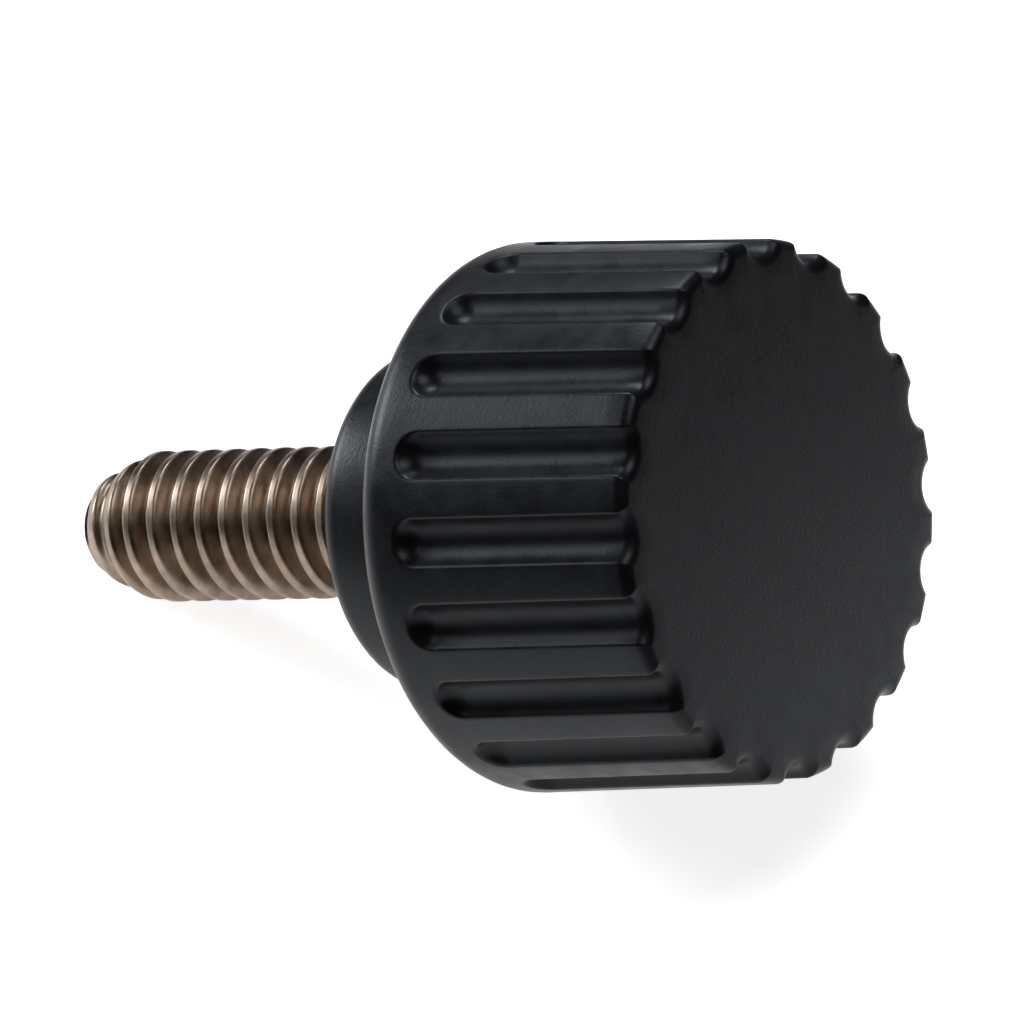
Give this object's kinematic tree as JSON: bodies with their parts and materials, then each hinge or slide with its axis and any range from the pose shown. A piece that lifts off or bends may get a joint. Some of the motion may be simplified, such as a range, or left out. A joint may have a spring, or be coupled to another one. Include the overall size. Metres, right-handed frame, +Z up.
{
  "type": "thumb screw",
  "caption": "Thumb screw with a fluted black moulded knob, a stepped collar behind it and a fixed metal stud with a tapered tip.",
  "frame": {"origin": "on the bench, below the middle of the resting screw's bounding box", "axes": "+Z up; the screw's axis lies in the XZ plane and rises about 22 degrees from the tip at -X to the front face at +X"},
  "size_m": [0.037, 0.0226, 0.0251],
  "materials": {
    "black_plastic": "finely textured matte black moulding",
    "stud_metal": "dull brown-gold rolled thread"
  },
  "bodies": {
    "root": {"knob": "black_plastic", "threaded_stud": "stud_metal"}
  },
  "joints": []
}
